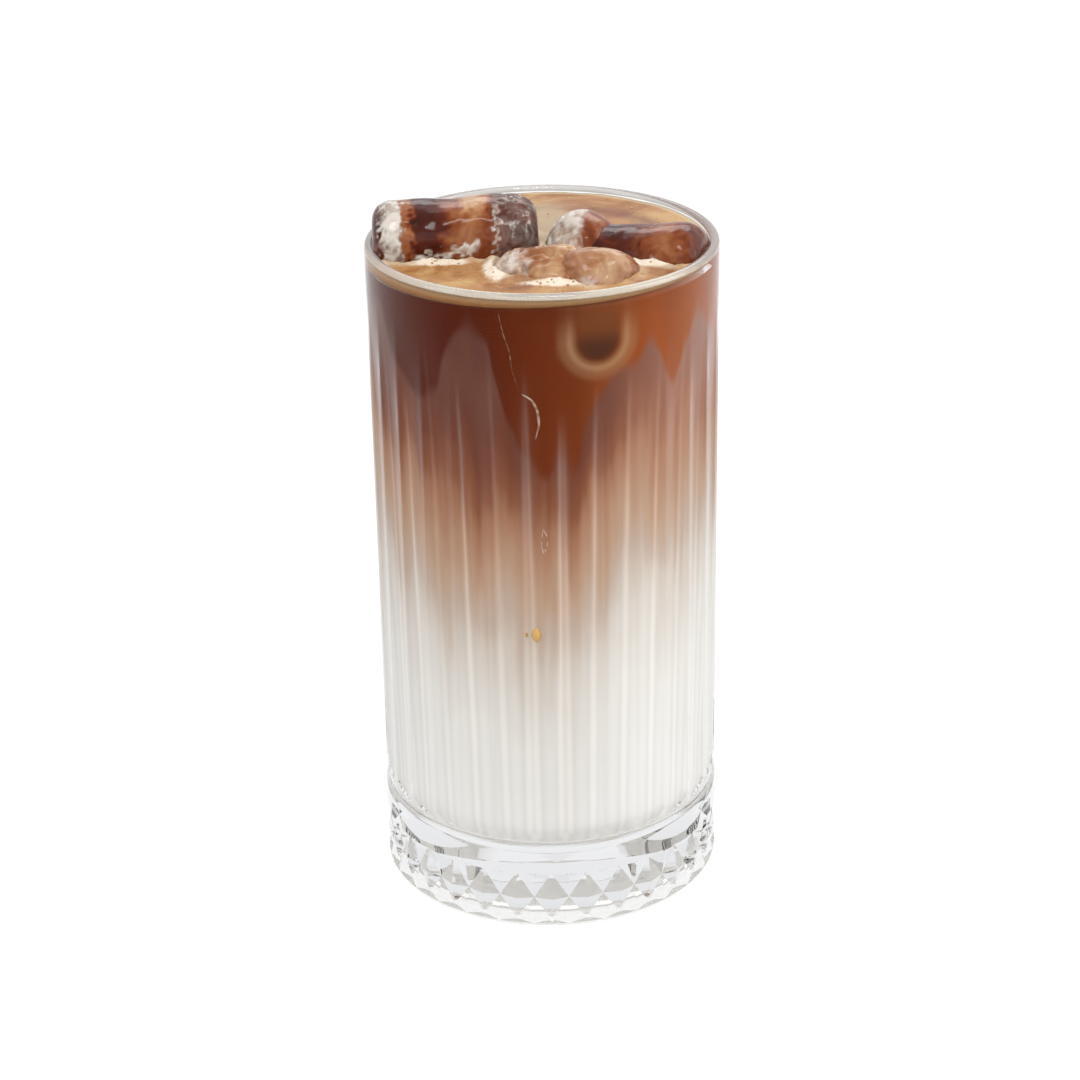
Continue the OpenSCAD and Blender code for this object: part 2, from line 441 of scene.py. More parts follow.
cutter = bpy.data.node_groups.new("cut_pattern", "GeometryNodeTree")
cutter.interface.new_socket("Geometry", in_out="INPUT", socket_type="NodeSocketGeometry")
cutter.interface.new_socket("Glass Finish", in_out="INPUT", socket_type="NodeSocketMaterial")
for label in PATTERN_SIZES:
    cutter.interface.new_socket(label, in_out="INPUT", socket_type="NodeSocketFloat")
cutter.interface.new_socket("Geometry", in_out="OUTPUT", socket_type="NodeSocketGeometry")
given = cutter.nodes.new("NodeGroupInput").outputs

place = add_node(cutter, "GeometryNodeInputPosition").outputs[0]
axes = add_node(cutter, "ShaderNodeSeparateXYZ", {0: place}).outputs
squares = [step("MULTIPLY", axes[i], axes[i]) for i in (0, 1)]
radius = step("SQRT", step("ADD", *squares))
turns = step("DIVIDE", step("SUBTRACT", step("ARCTAN2", axes[1], axes[0]), given["First Ridge"]),
             step("DIVIDE", 2 * math.pi, given["Flutes"]))
across = step("ABSOLUTE", step("SUBTRACT", step("MULTIPLY", step("FRACT", turns), 2.0), 1.0))

fade = add_node(cutter, "ShaderNodeMapRange", {
    "Value": axes[2], "From Min": given["Fade To"], "From Max": given["Fade From"],
    "To Min": 0.0, "To Max": 1.0}, interpolation_type="SMOOTHSTEP").outputs[0]
start = given["Ridge Start"]
hollow = step("MULTIPLY", across, across)
bend = step("DIVIDE", start, step("SUBTRACT", 1.0, start))
near = step("SUBTRACT", 1.0, across)
rounding = step("SUBTRACT", start, step("MULTIPLY", bend, step("MULTIPLY", near, near)))
on_ridge = step("GREATER_THAN", across, start)
curve = step("ADD", hollow, step("MULTIPLY", on_ridge, step("SUBTRACT", rounding, hollow)))
valley = step("SUBTRACT", 1.0, step("DIVIDE", curve, start))
flute = step("MULTIPLY", step("MULTIPLY", valley, given["Flute Depth"]), fade)
fluted = step("MINIMUM", radius, step("SUBTRACT", given["Wall Radius"], flute))

above = step("SUBTRACT", axes[2], given["Diamond Middle"])
rise = step("DIVIDE", above, step("SUBTRACT", given["Diamond Top"], given["Diamond Middle"]))
drop = step("DIVIDE", above, step("SUBTRACT", given["Diamond Foot"], given["Diamond Middle"]))
tall = step("MAXIMUM", rise, drop)
tent = step("ABSOLUTE", step("SUBTRACT", 1.0, step("ADD", across, tall)))
faceted = step("SUBTRACT", given["Ring Radius"],
               step("MULTIPLY", given["Diamond Depth"], step("SUBTRACT", 1.0, tent)))

in_flutes = step("GREATER_THAN", axes[2], given["Flute Foot"])
TINY = 1e-6
over_foot = step("GREATER_THAN", axes[2], step("SUBTRACT", given["Diamond Foot"], TINY))
under_top = step("LESS_THAN", axes[2], step("ADD", given["Diamond Top"], TINY))
in_band = step("MULTIPLY", over_foot, under_top)


def choose(where, then, otherwise):
    """One radius where a condition is 1, and another where it is 0."""
    return step("ADD", step("MULTIPLY", where, then),
                step("MULTIPLY", step("SUBTRACT", 1.0, where), otherwise))


cut = choose(in_band, faceted, choose(in_flutes, fluted, radius))
ratio = step("DIVIDE", cut, step("MAXIMUM", radius, TINY))
moved = add_node(cutter, "ShaderNodeCombineXYZ", {
    0: step("MULTIPLY", axes[0], ratio), 1: step("MULTIPLY", axes[1], ratio), 2: axes[2]}).outputs[0]
marked = add_node(cutter, "GeometryNodeInputNamedAttribute", {"Name": "outside"}, data_type="BOOLEAN")
shaped = add_node(cutter, "GeometryNodeSetPosition", {
    "Geometry": given["Geometry"], "Selection": marked.outputs[0], "Position": moved}).outputs[0]
single = add_node(cutter, "GeometryNodeRealizeInstances", {"Geometry": shaped}).outputs[0]
finished = add_node(cutter, "GeometryNodeSetMaterial", {
    "Geometry": single, "Material": given["Glass Finish"]}).outputs[0]
add_node(cutter, "NodeGroupOutput", {0: finished})
print("cut pattern tree:", len(cutter.nodes), "nodes")

# %% [markdown]
# ## Clear glass
#
# Real glass bends light and mirrors a little of it. One Principled shader does both.
# Its mirror is turned down with the specular tint, because the white room would lay a
# grey veil over the dark coffee. Three things are added. Pressed glass is never quite
# flat, so a faint slow ripple goes into the normal. Thick glass dims light, so the
# body absorbs a little, which shows only in the base. And lamps shine straight
# through: for rays that go to a lamp the shader is swapped for a plain transparent
# one, or the drink would sit in the dark, because a path tracer seldom finds a lamp
# through two bent surfaces. The round lip catches light from all sides, and that light
# is painted into it: the lip gets a paler, slightly cloudy glass of its own.

# %% Ripple group and glass finish
def ripple_group():
    """A shared group: slow ripples as a height, for pressed glass and for wet ice."""
    group = bpy.data.node_groups.new("slow_ripple", "ShaderNodeTree")
    group.interface.new_socket("Scale", in_out="INPUT", socket_type="NodeSocketFloat")
    group.interface.new_socket("Height", in_out="OUTPUT", socket_type="NodeSocketFloat")
    source = group.nodes.new("NodeGroupInput")
    waves = add_node(group, "ShaderNodeTexNoise", {
        "Vector": own_place(group), "Scale": source.outputs["Scale"], "Detail": 2.0, "Roughness": 0.4})
    add_node(group, "NodeGroupOutput", {0: waves.outputs["Fac"]})
    return group


RIPPLE = ripple_group()


def rippled(shader, scale, strength, distance):
    """Bumps a shader's normal with the ripple group."""
    made = add_node(shader.id_data, "ShaderNodeGroup", node_tree=RIPPLE)
    fill(made, {"Scale": scale})
    bumped(shader, made.outputs[0], strength, distance)


def lamps_pass(surface, out, tint):
    """Lets rays to lamps go straight through a clear surface."""
    tree = out.id_data
    clear = add_node(tree, "ShaderNodeBsdfTransparent", {"Color": tint})
    path = add_node(tree, "ShaderNodeLightPath")
    swap = add_node(tree, "ShaderNodeMixShader", {
        0: path.outputs["Is Shadow Ray"], 1: surface, 2: clear.outputs[0]})
    fill(out, {"Surface": swap.outputs[0]})


def clear_glass(name, values):
    """Pressed glass: a bending surface with faint ripples, and a thick body that dims light."""
    made, tree, shader, out = new_material(name, values)
    rippled(shader, 55.0, 0.2, 0.0002)
    lamps_pass(shader.outputs[0], out, (0.97, 0.97, 0.97, 1.0))
    depth = add_node(tree, "ShaderNodeVolumeAbsorption", {
        "Color": (0.55, 0.54, 0.52, 1.0), "Density": 4.0})
    fill(out, {"Volume": depth.outputs[0]})
    return made


glass_finish = clear_glass("pressed_glass", {
    "Base Color": (1.0, 1.0, 1.0, 1.0), "Roughness": 0.0, "IOR": 1.5,
    "Transmission Weight": 1.0, "Specular Tint": (0.13, 0.13, 0.13, 1.0)})
lip_highlight_finish = clear_glass("glass_lip_highlight", {
    "Base Color": (0.93, 0.91, 0.87, 1.0), "Roughness": 0.05, "IOR": 1.5,
    "Transmission Weight": 0.76})
print("glass finish ready")


# %% [markdown]
# A modifier runs the tree on the turned glass. Its inputs are set by the sockets' own
# identifiers, and the result is kept as a plain mesh, so nothing has to be worked out
# again later. Edges sharper than a few degrees are marked sharp, and the rest is
# shaded smooth: ridges and diamonds stay crisp while the flutes look round. Last, the
# faces of the lip take their own finish.

# %% Run the tree
def run_tree(thing, tree, values, name):
    """Runs a Geometry Nodes tree on an object and keeps the result as a plain mesh."""
    modifier = thing.modifiers.new("tree", "NODES")
    modifier.node_group = tree
    for item in tree.interface.items_tree:
        if item.in_out == "INPUT" and item.name in values:
            modifier[item.identifier] = values[item.name]
    view = bpy.context.evaluated_depsgraph_get()
    result = bpy.data.meshes.new_from_object(thing.evaluated_get(view))
    thing.modifiers.remove(modifier)
    result.name = name
    thing.data = result
    return thing


def shade(thing, sharp_degrees):
    """Smooth shading, with edges over an angle kept sharp."""
    thing.data.shade_smooth()
    thing.data.set_sharp_from_angle(angle=math.radians(sharp_degrees))


run_tree(glass, cutter, dict(PATTERN_SIZES, **{"Glass Finish": glass_finish}), "cut_glass")
SHARP_DEGREES = 14
LIP_DEPTH = 1.4
shade(glass, SHARP_DEGREES)
# The lip's paler, cloudier finish is a painted highlight.
glass.data.materials.append(lip_highlight_finish)
middles = np.empty(len(glass.data.polygons) * 3)
glass.data.polygons.foreach_get("center", middles)
on_lip = middles[2::3] > (GLASS_HEIGHT - LIP_DEPTH) * MM
glass.data.polygons.foreach_set("material_index", on_lip.astype(np.int32))
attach(glass, "root")
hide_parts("glass")
print("cut glass:", len(glass.data.polygons), "faces")

# %% [markdown]
# ## Bullet ice as a rule
#
# Machine ice comes as short round bars. Each piece here is described once, by where its
# middle is, which way it points, its radius and its length. The same description makes
# its mesh and hollows out the drink below it, so the two always fit. A distance
# function says how far any point is from a piece's surface: less than zero inside.

# %% Ice descriptions
class Bullet:
    """A bar of ice: middle in mm, yaw and pitch in degrees, radius, length, end rounding."""

    def __init__(self, name, middle, yaw, pitch, radius, length, end):
        self.name = name
        self.middle = np.array(middle)
        y, p = math.radians(yaw), math.radians(pitch)
        self.axis = np.array([math.cos(y) * math.cos(p), math.sin(y) * math.cos(p), math.sin(p)])
        self.radius, self.length, self.end = radius, length, end

    def distance(self, points):
        """How far points are outside the bar's surface, in mm."""
        away = points - self.middle
        along = away @ self.axis
        out = np.sqrt(np.maximum((away ** 2).sum(-1) - along ** 2, 0))
        half_bar = self.length / 2 - self.end
        over = np.stack([out - (self.radius - self.end), np.abs(along) - half_bar], -1)
        beyond = np.sqrt((np.maximum(over, 0) ** 2).sum(-1))
        return beyond + np.minimum(over.max(-1), 0) - self.end


LEFT = Bullet("ice_left", (-18.6, -1.2, 150.5), 2, 1.5, 9.7, 35.6, 4.5)
RIGHT = Bullet("ice_right", (21.2, -4.6, 144.9), -20, 7, 9.6, 30.0, 5.0)
HEAD = Bullet("ice_head", (9.4, 0.6, 146.6), -20, 14, 9.2, 15.0, 6.5)
MIDDLE = Bullet("ice_middle", (0.8, -16.6, 145.7), -20, 2, 7.6, 24.0, 6.5)
FRONT = Bullet("ice_front", (11.3, -22.6, 142.9), 86, 54, 8.3, 24.5, 6.5)
ALL_ICE = (LEFT, RIGHT, HEAD, MIDDLE, FRONT)
LEVEL = 149.5
print("ice:", [b.name for b in ALL_ICE])


# %% [markdown]
# ## The drink's colours, as masks on its surface
#
# The strong coffee lies on top and sinks into the milk in tongues. Where it meets the
# milk the edge is sharp in places and blurred in others. The height of that edge is a
# smooth closed line round the glass, given by a few tongue tips and the swirls between
# them. A second line says how far the milky zone is lifted or sunk at each side. A
# curve that is written as a short list of places can be read and changed by hand,
# which a painted map can't.

# %% Tongue line
def closed_line(angles_and_heights):
    """A smooth closed line through (angle, height) points, as a function of angle in degrees."""
    pairs = sorted(angles_and_heights)
    at = np.array([a for a, h in pairs], dtype=float)
    height = np.array([h for a, h in pairs], dtype=float)
    at = np.concatenate([at[-2:] - 360, at, at[:2] + 360])
    height = np.concatenate([height[-2:], height, height[:2]])
    slope = np.gradient(height, at)

    def line(angle):
        angle = (np.asarray(angle) + 180) % 360 - 180
        i = np.clip(np.searchsorted(at, angle) - 1, 0, len(at) - 2)
        gap = at[i + 1] - at[i]
        t = (angle - at[i]) / gap
        s = t * t * (3 - 2 * t)
        straight = height[i] + (height[i + 1] - height[i]) * s
        bow = gap * (slope[i] * t * (1 - t) ** 2 - slope[i + 1] * t ** 2 * (1 - t))
        return straight + 0.35 * bow

    return line


tongue_line = closed_line([
    (-80, 139), (-66, 141), (-60, 131), (-54, 127), (-47, 124), (-40, 126), (-33, 137), (-26, 143),
    (-19, 140), (-13, 122), (-8, 114), (-1, 108.5), (4, 113), (9, 110.5), (14, 122), (22, 131),
    (31, 134), (38, 138), (47, 126.5), (54, 134), (61, 141), (72, 134), (88, 126), (104, 137),
    (120, 121), (137, 133), (152, 117), (166, 130), (178, 123), (-168, 134), (-152, 119),
    (-136, 131), (-121, 122), (-104, 136), (-92, 128)])
lift_line = closed_line([
    (-75, 14), (-60, 7), (-47, 5), (-37, 3), (-27, 0), (-15, -1), (-2, -5), (10, -3), (20, 7),
    (30, 13), (40, 13), (49, 11), (60, 13), (75, 18), (100, 12), (130, 4), (160, 10), (-170, 2),
    (-140, 8), (-110, 4), (-90, 14)])
print("tongue tips at", [round(float(tongue_line(a)), 1) for a in (-47, -1, 9, 47)])

# %% [markdown]
# ## The drink
#
# One closed body fills the glass from the floor to the foam, and reaches a hair into
# the wall so that no air shows between them. Its top is a field of heights: flat under
# the foam, and dipping under each piece of ice as deep as the ice reaches. That way the
# clear ice has something to lie in, and dark coffee shows through it.

# %% Heights under the ice
DRINK_COLUMNS = 360
SEAT = 0.12
SEARCH_DEPTH = 26
SEARCH_STEP = 0.25
HOVER = 1.5
FOAM_DEPTH = 1.55
FOAM_TILT = 0.03


def ice_bed(x, y, top):
    """How low the ice reaches below each point of the surface. The search goes downwards
    from the level, and allows for ice that starts a little below it."""
    bed = np.full(x.shape, top)
    for bullet in ALL_ICE:
        near = np.hypot(x - bullet.middle[0], y - bullet.middle[1]) < bullet.length / 2 + bullet.radius
        px, py = x[near], y[near]
        reach = np.full(px.shape, top)
        going = np.ones(px.shape, dtype=bool)
        for z in np.arange(top - 0.1, top - SEARCH_DEPTH, -SEARCH_STEP):
            inside = bullet.distance(np.stack([px, py, np.full(px.shape, z)], -1)) < -SEAT
            going &= inside | ((z > top - HOVER) & ~inside & (reach == top) & going)
            reach = np.where(going & inside, z, reach)
        bed[near] = np.minimum(bed[near], reach)
    return bed


def foam_floor(x):
    """Height of the foam's underside: the foam is thicker at the left."""
    return LEVEL - FOAM_DEPTH + FOAM_TILT * x


def soften(grid, rounds):
    """Evens a field of rings and columns a little, so that steps turn into slopes."""
    for _ in range(rounds):
        side = (np.roll(grid, 1, 1) + np.roll(grid, -1, 1)) / 2
        rings = grid.copy()
        rings[1:-1] = (grid[:-2] + grid[2:]) / 2
        grid = 0.5 * grid + 0.25 * side + 0.25 * rings
    return grid


WALL_OVERLAP = 0.15
body_rows = [(0.0, FLOOR_Z - WALL_OVERLAP)]
body_rows += [(r, FLOOR_Z - WALL_OVERLAP) for r in (4.0, 10.0, 18.0)]
body_rows += [(r + WALL_OVERLAP * 0.7, z - WALL_OVERLAP * 0.7) for r, z in rounded(
    bore(FLOOR_Z + CORNER) - CORNER, FLOOR_Z + CORNER, CORNER, CORNER, -88, 0, 12)]
body_rows += [(bore(z) + WALL_OVERLAP, z) for z in np.arange(25.0, 146.6, 0.75)]
rings = np.linspace(36.0, 1.0, 96)
drink_edge = len(body_rows)
drink_rows = body_rows + [(r, LEVEL) for r in rings] + [(0.0, LEVEL)]
drink, points = turned_mesh("drink", drink_rows, even_turn(DRINK_COLUMNS))

top = points[(drink_edge - 1) * DRINK_COLUMNS:-2].reshape(len(rings), DRINK_COLUMNS, 3)
bed = ice_bed(top[..., 0], top[..., 1], LEVEL)
bed = soften(bed, 3)
heights = np.minimum(bed, foam_floor(top[..., 0]))
heights[0] = foam_floor(top[0, :, 0])
points[(drink_edge - 1) * DRINK_COLUMNS:-2, 2] = heights.reshape(-1)
points[-1, 2] = heights[-1].mean()
drink.data.vertices.foreach_set("co", (points * MM).reshape(-1))
print("drink:", len(drink.data.polygons), "faces; deepest ice bed at", round(float(bed.min()), 1), "mm")

# %% [markdown]
# The lines become numbers stored on the drink's points, and the material turns them
# into colour: how far a point is above the tips of the tongues, and how high it is in
# the milky zone. Smooth noise lets both borders wander. Two more numbers are stored.
# One is the distance from the outline of the ice that touches the front wall, which is
# a bar with a round end. The other says how much light comes from the right, and runs
# up and down again round the back, so that it closes on itself without a seam.

# %% Masks on the drink
def store(thing, name, values):
    """Stores one number for each point of a mesh."""
    layer = thing.data.attributes.new(name, "FLOAT", "POINT")
    layer.data.foreach_set("value", np.asarray(values, dtype=np.float32))


def noise_at(spots):
    """Smooth noise at each of a row of places."""
    return np.array([noise.noise(Vector(s)) for s in spots])


def wobble(angle, z, scale, seed):
    """Smooth noise on the wall, from -1 to 1, that closes on itself round the glass."""
    turn = np.radians(angle)
    spots = np.stack([np.cos(turn) * scale, np.sin(turn) * scale, z / 36 * scale + seed], -1)
    return noise_at(spots) * 1.6


angle = np.degrees(np.arctan2(points[:, 0], -points[:, 1]))
wall_z = points[:, 2]
swirl = wobble(angle, wall_z * 0.35, 4.0, 3.0)
fine = wobble(angle, wall_z * 0.5, 11.0, 9.0)
store(drink, "above_tongue", wall_z - tongue_line(angle + 1.5 * swirl) - 1.2 * fine)
store(drink, "milky", wall_z - lift_line(angle) + 2.2 * swirl + 0.8 * fine)

U_TURN, U_HALF, U_FOOT = 18.0, 5.2, 134.6
across_wall = np.radians(angle - U_TURN) * 36
along_wall = np.minimum(wall_z - (U_FOOT + U_HALF), 0)
ice_mark = np.hypot(across_wall, along_wall) - U_HALF
on_wall = np.hypot(points[:, 0], points[:, 1]) > bore(wall_z) - 0.5
store(drink, "ice_mark", np.where(on_wall, ice_mark, 20.0))
light_line = closed_line([
    (-75, -58), (-60, -60), (-27, -27), (0, 0), (30, 30), (60, 60), (75, 56), (110, 35), (150, 10),
    (179, 0), (-150, -10), (-110, -35)])
store(drink, "lit", light_line(angle))
print("masks stored on", len(points), "points")


# %% [markdown]
# ## Coffee, milk, and the cloud between them
#
# The material reads the masks. The milk's white turns through beige and mauve brown
# into the clear coffee above, and the coffee is darker at the left and more orange at
# the right, where more light comes through it. Upright streaks, long and thin as the
# flutes, break up the cloud between them. Round the piece of ice that touches the
# wall there is a pale halo, and the ice itself looks like a dark plum bar.

# %% Colours of the drink
def mask(tree, name, low, high):
    """A stored number mapped so that low is 0 and high is 1."""
    return between(stored(tree, name), low, high)


drink_finish, tree, shader, out = new_material("coffee_and_milk", {
    "Roughness": 0.5, "Specular IOR Level": 0.0})
streaks = noise_value(tree, 90.0, 2.0, 0.5, stretch=(1.0, 1.0, 0.18))
stripes = noise_value(tree, 230.0, 2.0, 0.5, stretch=(1.0, 1.0, 0.07))
cloud = noise_value(tree, 45.0, 4.0, 0.6, stretch=(1.0, 1.0, 0.5), distortion=0.6)
milky = plus(mask(tree, "milky", 20.0, 150.0), swing(streaks, 0.05))
milky = plus(milky, swing(stripes, 0.22))
MILK_STOPS = [
    (0.00, "f2f1ed"), (0.19, "edebe5"), (0.31, "e2dcd4"), (0.37, "d8cdc1"), (0.43, "c9b5a5"),
    (0.49, "c3a48b"), (0.55, "bc957a"), (0.615, "ae7e61"), (0.67, "8f583e"), (0.73, "7a4431"),
    (0.785, "724232"), (0.85, "744738"), (0.93, "6c4036")]
COFFEE_STOPS = [
    (0.0, "4a0b00"), (0.33, "500f00"), (0.48, "702b09"), (0.62, "7c3813"), (0.78, "9e4e1f"),
    (1.0, "a85a24")]
latte_colour = ramp(milky, MILK_STOPS, "LINEAR")
# painted light: where the stored light from the right is strong, the mixing zone turns a paler mauve
# tan
milk_light = times(mask(tree, "lit", 18.0, 50.0), mask(tree, "milky", 92.0, 110.0))
latte_colour = blend_colours(times(milk_light, 0.5), latte_colour, colour("c0917a"))
# painted light: the coffee runs from dark at the left to orange at the right with the stored light
dark = ramp(mask(tree, "lit", -60.0, 60.0), COFFEE_STOPS, "LINEAR")
deep = mask(tree, "above_tongue", 0.0, 34.0)
dark = blend_colours(times(deep, 0.35), dark, colour("521400"))
dark = blend_colours(times(cloud, 0.22), dark, colour("a0592f"))
tongue = ramp(mask(tree, "above_tongue", -2.2, 2.2), [(0.0, 0.0), (1.0, 1.0)])
mixed = blend_colours(tongue, latte_colour, dark)

spot = add_node(tree, "ShaderNodeSeparateXYZ", {0: own_place(tree)}).outputs
bar_height = between(spot[2], 0.134, 0.149)
HALO_STOPS = [(0.0, 0.0), (0.16, 0.35), (0.34, 0.75), (0.6, 0.35), (1.0, 0.0)]
halo = ramp(mask(tree, "ice_mark", -1.0, 4.5), HALO_STOPS)
halo = times(halo, ramp(bar_height, [(0.35, 1.0), (0.85, 0.15)]))
mixed = blend_colours(halo, mixed, colour("b48a62"))
PLUM_STOPS = [(0.0, "3c2620"), (0.3, "53301f"), (0.6, "7a4424"), (1.0, "8c5230")]
plum = ramp(mask(tree, "ice_mark", -2.2, 0.7), [(0.0, 1.0), (1.0, 0.0)])
plum = times(plum, ramp(bar_height, [(0.6, 0.95), (1.0, 0.45)]))
mixed = blend_colours(plum, mixed, ramp(bar_height, PLUM_STOPS))
print("drink colours mixed:", len(tree.nodes), "nodes")

# %% [markdown]
# Behind each ridge of the glass a real drink shows a soft thread of light, because the
# ridge works as a lens that gathers the room's light on it. A path tracer would need
# far too many rays to find this, so it is laid on the drink by rule: `to_ridge` is 0
# behind a ridge and one half behind the middle of a flute. Each ridge has its own
# luck, which sets how bright its thread is and how high it climbs into the coffee.

# %% Light behind the ridges
around = step("ARCTAN2", spot[1], spot[0])
around = step("SUBTRACT", around, FIRST_RIDGE)
around = step("DIVIDE", around, 2 * math.pi / RIDGES)
WHOLE_TURNS = 60.0
wandering = plus(plus(around, swing(streaks, 0.12)), WHOLE_TURNS)
to_ridge = step("PINGPONG", wandering, 0.5)
ridge_luck = add_node(tree, "ShaderNodeTexWhiteNoise", {
    "W": step("ROUND", around)}, noise_dimensions="1D").outputs["Value"]
climb_to = between(plus(spot[2], times(ridge_luck, 0.026)), 0.110, 0.150)
flute_fade = ramp(climb_to, [(0.0, 1.0), (0.5, 0.45), (1.0, 0.0)])
gathered = ramp(to_ridge, [(0.0, 0.8), (0.04, 0.5), (0.09, 0.16), (0.17, 0.0)])
gathered = times(gathered, flute_fade)
gathered = times(gathered, ramp(ridge_luck, [(0.0, 0.12), (1.0, 1.0)]))
mixed = blend_colours(gathered, mixed, blend_colours(0.5, mixed, colour("fff6ea")))
# painted shade: a greyer band on either side of each thread of light, fading towards the top
shaded = ramp(to_ridge, [(0.05, 0.0), (0.2, 1.0), (0.4, 0.4), (0.5, 0.2)])
shaded = times(times(shaded, flute_fade), 0.42)
mixed = blend_colours(shaded, mixed, blend_colours(0.25, mixed, colour("8a7468")))
fill(shader, {"Base Color": mixed})
drink.data.materials.append(drink_finish)
drink.data.shade_smooth()
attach(drink, "root")
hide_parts("milk", "latte", "coffee")
print("drink finish ready")

# %% [markdown]
# ## The foam
#
# A thin skin of tan foam floats on the coffee. It is a disc with relief: it climbs the
# wall a little, swells where it meets the ice, and rolls gently in between. Its sides
# show through the glass as a pale band. Where the ice stands, both faces of the disc
# dive below the bed in the coffee, so the foam seems cut round it without any holes.

# %% Foam disc
FOAM_COLUMNS = 440
OUTER_RINGS = [bore(LEVEL) + 0.12, bore(LEVEL) - 0.25]
foam_rings = np.concatenate([OUTER_RINGS, np.linspace(35.6, 0.8, 110)])


def foam_gap(x, y):
    """Distance from the nearest ice at the surface."""
    spots = np.stack([x, y, np.full(x.shape, LEVEL)], -1)
    return np.min([b.distance(spots) for b in ALL_ICE], axis=0)


def smooth_step(low, high, value):
    """0 below low, 1 above high, and a smooth rise between."""
    t = np.clip((value - low) / (high - low), 0, 1)
    return t * t * (3 - 2 * t)


def noise_field(x, y, scale, seed):
    """Smooth noise over the surface, from about -1 to 1."""
    flat = np.stack([x.ravel() * scale, y.ravel() * scale, np.full(x.size, seed)], -1)
    return (noise_at(flat) * 1.6).reshape(x.shape)


turn = even_turn(FOAM_COLUMNS)
fx = foam_rings[:, None] * np.cos(turn)
fy = foam_rings[:, None] * np.sin(turn)
gap = foam_gap(fx, fy)
rolls = noise_field(fx, fy, 0.16, 2.0)
crinkle = noise_field(fx, fy, 0.7, 5.0)
wall_gap = bore(LEVEL) - np.hypot(fx, fy)
climb = 0.2 * np.exp(-np.maximum(wall_gap, 0) / 0.7)
uneven = noise_field(fx, fy, 0.3, 21.0)
lip_up = 0.5 * np.exp(-((gap - 0.6) / 0.8) ** 2) * np.clip(0.7 + 0.9 * uneven, 0.1, 1.4)
foam_top = LEVEL - 0.1 + climb + lip_up * (1 + 0.25 * crinkle) + 0.12 * rolls + 0.04 * crinkle
# Each heap of froth: its place, how wide and how deep it is, and how high it stands.
FROTH = [(-3.0, -5.0, 2.6, 5.0, 1.5), (-10.0, -17.0, 2.4, 7.0, 1.1), (15.5, -12.5, 3.0, 3.0, 1.2),
         (24.0, -15.0, 6.0, 2.2, 0.9), (-22.0, -12.5, 6.0, 1.6, 0.6), (3.0, -26.5, 7.0, 2.0, 0.7)]
froth = np.zeros(fx.shape)
for x, y, wide, deep, tall_by in FROTH:
    bell = np.exp(-((fx - x) / wide) ** 2 - ((fy - y) / deep) ** 2)
    froth = np.maximum(froth, bell)
    foam_top += tall_by * bell * (0.85 + 0.22 * crinkle)
sunk = smooth_step(0.15, -0.55, gap) * smooth_step(0.2, 1.2, wall_gap)
deep_bed = ice_bed(fx, fy, LEVEL) - 1.0
foam_top = foam_top * (1 - sunk) + np.minimum(deep_bed, LEVEL - 3.5) * sunk
foam_top = soften(foam_top, 1)
foam_low = np.minimum(foam_floor(fx) - 0.1, foam_top - 0.35)

UNDERSIDE = LEVEL - 2
rows = [(0.0, UNDERSIDE)] + [(r, UNDERSIDE) for r in foam_rings[::-1]]
rows += [(r, LEVEL) for r in foam_rings] + [(0.0, LEVEL)]
foam, points = turned_mesh("foam_disc", rows, even_turn(FOAM_COLUMNS))
points[:-2, 2] = np.concatenate([foam_low[::-1], foam_top]).reshape(-1)
points[-2, 2] = foam_low[-1].mean()
points[-1, 2] = foam_top[-1].mean()
foam.data.vertices.foreach_set("co", (points * MM).reshape(-1))
for label, field, at_pole in (("ice_gap", gap, gap[-1, 0]), ("froth", froth, 0.0),
                              ("wall_gap", wall_gap, 36.0)):
    store(foam, label, np.concatenate([field[::-1].ravel(), field.ravel(), [at_pole, at_pole]]))
print("foam:", len(foam.data.polygons), "faces, from", round(float(foam_low.min()), 1), "to",
      round(float(foam_top.max()), 1), "mm")

# %% [markdown]
# The foam is tan, with darker veins and one brown arc at the back where it has parted.
# It is paler where it is thick and full of air: along the ice, on the heaps of froth
# and against the glass. Between the two bars of ice lies a pool where milk has come
# up. Tiny bubbles pit the surface, so a fine cell pattern goes into the bump, and the
# wet skin is a little glossy.

# %% Foam finish
foam_finish, tree, shader, out = new_material("wet_foam", {
    "Roughness": 0.35, "Specular IOR Level": 0.25})
spot = own_place(tree)
along_axes = add_node(tree, "ShaderNodeSeparateXYZ", {0: spot}).outputs
cloudy = noise_value(tree, 120.0, 4.0, 0.6, distortion=1.2)
veins = noise_value(tree, 60.0, 3.0, 0.5, distortion=2.0)
base = ramp(veins, [(0.28, "724119"), (0.4, "8a5828"), (0.52, "9e7040"), (0.7, "ae8854")])


def vector_step(operation, a, b=None):
    """One vector node in the foam's tree."""
    joined = {0: a} if b is None else {0: a, 1: b}
    return add_node(tree, "ShaderNodeVectorMath", joined, operation=operation).outputs


ARC_MIDDLE = (0.002, -0.003, 0.0)
ARC_RADIUS = 0.0275
flat_spot = vector_step("MULTIPLY", spot, (1.0, 1.0, 0.0))[0]
arc_far = vector_step("DISTANCE", flat_spot, ARC_MIDDLE)["Value"]
arc_far = step("ABSOLUTE", step("SUBTRACT", arc_far, ARC_RADIUS))
arc_far = plus(arc_far, swing(cloudy, 0.003))
arc = ramp(arc_far, [(0.0006, 0.75), (0.0026, 0.0)])
arc = times(arc, between(along_axes[1], 0.002, 0.012))
base = blend_colours(arc, base, colour("6a3416"))

POOL_SHIFT = (-1.5 * MM, -15.0 * MM, -LEVEL * MM)
from_pool = add_node(tree, "ShaderNodeMapping", {"Vector": spot, "Location": POOL_SHIFT}).outputs[0]
pool_gap = vector_step("MULTIPLY", from_pool, (1.0, 0.45, 0.2))[0]
pool_far = plus(vector_step("LENGTH", pool_gap)["Value"], swing(cloudy, 0.006))
pool = ramp(pool_far, [(0.0025, 1.0), (0.0075, 0.0)])
base = blend_colours(pool, base, colour("a08a6a"))

